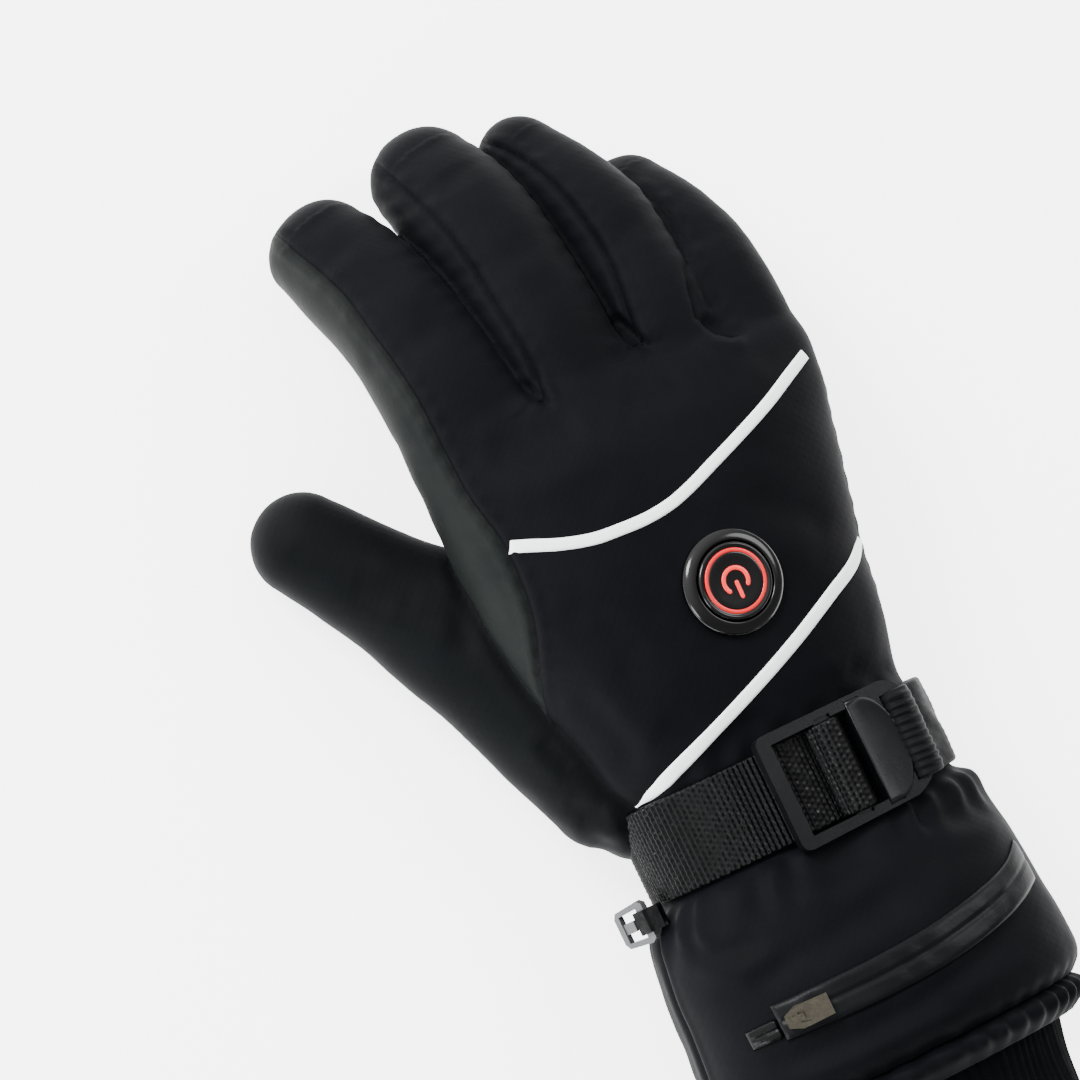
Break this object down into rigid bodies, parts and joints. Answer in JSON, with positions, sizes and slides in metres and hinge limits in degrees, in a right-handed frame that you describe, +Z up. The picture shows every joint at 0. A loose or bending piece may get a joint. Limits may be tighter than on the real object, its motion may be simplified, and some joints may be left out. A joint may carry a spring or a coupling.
{
  "type": "heated glove",
  "caption": "Right-hand padded softshell heated glove with a lit power button, reflective piping, a buckled wrist strap and a zipped gauntlet cuff.",
  "frame": {"origin": "centre of the glove's footprint, on the surface it lies on", "axes": "+X across the hand from the thumb side to the little finger, +Y from the cuff to the fingertips, +Z up from the surface, out of the back of the hand"},
  "size_m": [0.1592, 0.3134, 0.0732],
  "materials": {
    "softshell": "matte woven softshell",
    "palm": "matte grained synthetic",
    "lining": "brushed knit",
    "reflective": "retroreflective tape",
    "webbing": "ribbed webbing",
    "plastic": "satin moulded",
    "gloss": "polished black",
    "glow": "lit light guide",
    "nickel": "nickel plate",
    "coated": "smooth coated cloth",
    "clip": "satin moulded"
  },
  "bodies": {
    "glove": {"back_shell": "softshell", "palm_shell": "palm", "thumb_shell": "softshell", "cuff_shell": "softshell", "cuff_hem": "softshell", "inner_cuff": "lining", "piping_upper": "reflective", "piping_lower": "reflective", "button_bezel": "gloss", "wrist_strap": "webbing", "strap_buckle": "plastic", "strap_anchor": "webbing", "hook_clip": "clip", "clip_loop": "webbing", "zip_welt": "coated", "zip_end_tab": "webbing", "zip_slider": "nickel"},
    "button": {"button_cap": "gloss", "glow_ring": "glow", "glow_symbol": "glow", "glow_bar": "glow"},
    "pull": {"zip_pull": "nickel"}
  },
  "joints": [
    {"name": "button_press", "type": "slide", "parent": "glove", "child": "button", "axis": [-0.0523, 0.0697, -0.9962], "range_m": [0, 0.0008], "stiffness_N_per_m": 1500},
    {"name": "pull_swing", "type": "hinge", "parent": "glove", "child": "pull", "pos_m": [-0.0136, -0.1048, 0.06895], "axis": [0, -1, 0], "range_deg": [0, 150]}
  ]
}
